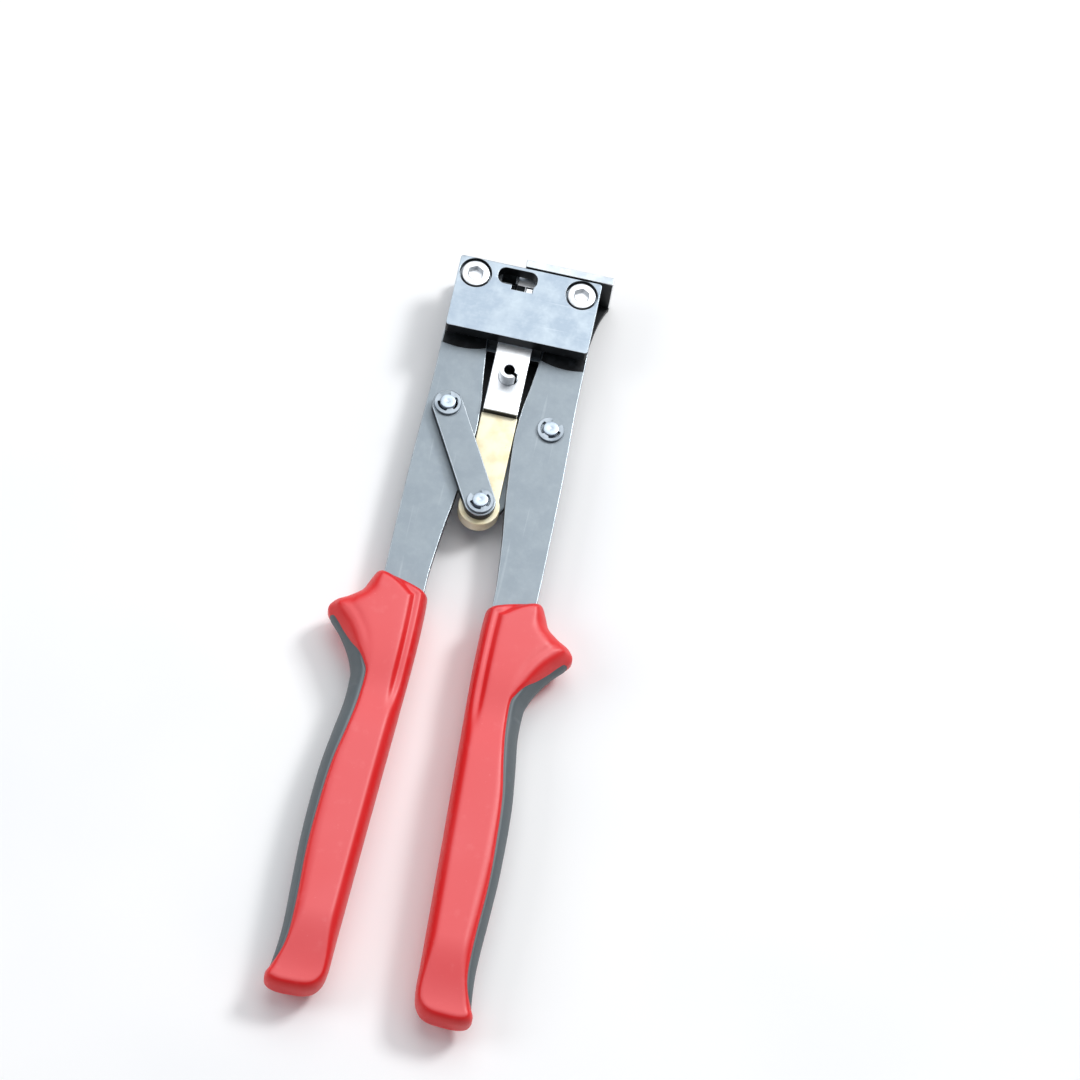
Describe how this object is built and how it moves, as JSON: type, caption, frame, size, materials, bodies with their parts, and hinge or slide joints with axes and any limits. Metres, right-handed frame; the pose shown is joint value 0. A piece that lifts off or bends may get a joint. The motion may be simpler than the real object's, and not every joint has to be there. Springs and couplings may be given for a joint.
{
  "type": "hand seamer",
  "caption": "Two-handed lever pliers whose long moulded grips work toggle links and a sliding ram, pulling a punch bar down onto a boxed head.",
  "frame": {"origin": "centre of the bottom of the tool's box, lying on its back with the handles closed", "axes": "+Y runs from the grips to the head, +X to the right seen from the front, +Z out of the front"},
  "size_m": [0.0952, 0.316, 0.023],
  "materials": {
    "plate_steel": "blue-grey satin ground steel",
    "arm_steel": "blue-grey satin blasted steel",
    "bright_steel": "bright clear zinc",
    "yellow_zinc": "pale yellow zinc",
    "black_steel": "black oxide",
    "tool_steel": "ground hardened steel",
    "spring_steel": "phosphated spring steel",
    "grip_red": "satin moulded red plastic",
    "grip_grey": "soft grey rubber"
  },
  "bodies": {
    "head": {"front_plate": "plate_steel", "back_plate": "plate_steel", "die_block": "tool_steel", "die_insert": "tool_steel", "left_guide": "tool_steel", "right_guide": "tool_steel", "guide_dowels": "bright_steel", "head_screws": "bright_steel", "pivot_screws": "bright_steel", "pivot_bushes": "bright_steel", "thrust_rings": "bright_steel", "thrust_washers": "bright_steel"},
    "ram": {"ram_block": "bright_steel", "drive_bar": "yellow_zinc", "slotted_pin": "spring_steel", "jaw_plate": "black_steel", "jaw_screws": "bright_steel", "jaw_bar": "bright_steel", "punch": "tool_steel", "base_pin": "bright_steel", "base_pin_clip": "spring_steel"},
    "left_lever": {"left_arm": "arm_steel", "left_grip": "grip_red", "left_grip_insert": "grip_grey", "left_link_pin": "bright_steel", "left_pin_clip": "spring_steel"},
    "right_lever": {"right_arm": "arm_steel", "right_grip": "grip_red", "right_grip_insert": "grip_grey", "right_link_pin": "bright_steel", "right_pin_clip": "spring_steel"},
    "left_toggle": {"left_link": "plate_steel"},
    "right_toggle": {"right_link": "plate_steel"}
  },
  "joints": [
    {"name": "left_handle", "type": "hinge", "parent": "head", "child": "left_lever", "pos_m": [-0.021, 0.1476, 0.011], "axis": [0, 0, -1], "range_deg": [0, 11]},
    {"name": "right_handle", "type": "hinge", "parent": "head", "child": "right_lever", "pos_m": [0.021, 0.1476, 0.011], "axis": [0, 0, 1], "range_deg": [0, 11]},
    {"name": "ram_slide", "type": "slide", "parent": "head", "child": "ram", "axis": [0, 1, 0], "range_m": [0, 0.00928]},
    {"name": "left_link_swing", "type": "hinge", "parent": "ram", "child": "left_toggle", "pos_m": [0, 0.054, 0.011], "axis": [0, 0, 1], "range_deg": [0, 18]},
    {"name": "right_link_swing", "type": "hinge", "parent": "ram", "child": "right_toggle", "pos_m": [0, 0.054, 0.011], "axis": [0, 0, -1], "range_deg": [0, 18]}
  ],
  "couplings": [
    {"joint": "right_handle", "follows": "left_handle", "ratio": 1},
    {"joint": "ram_slide", "follows": "left_handle", "m_per_rad": 0.0483},
    {"joint": "left_link_swing", "follows": "left_handle", "ratio": 1.636},
    {"joint": "right_link_swing", "follows": "left_handle", "ratio": 1.636}
  ]
}
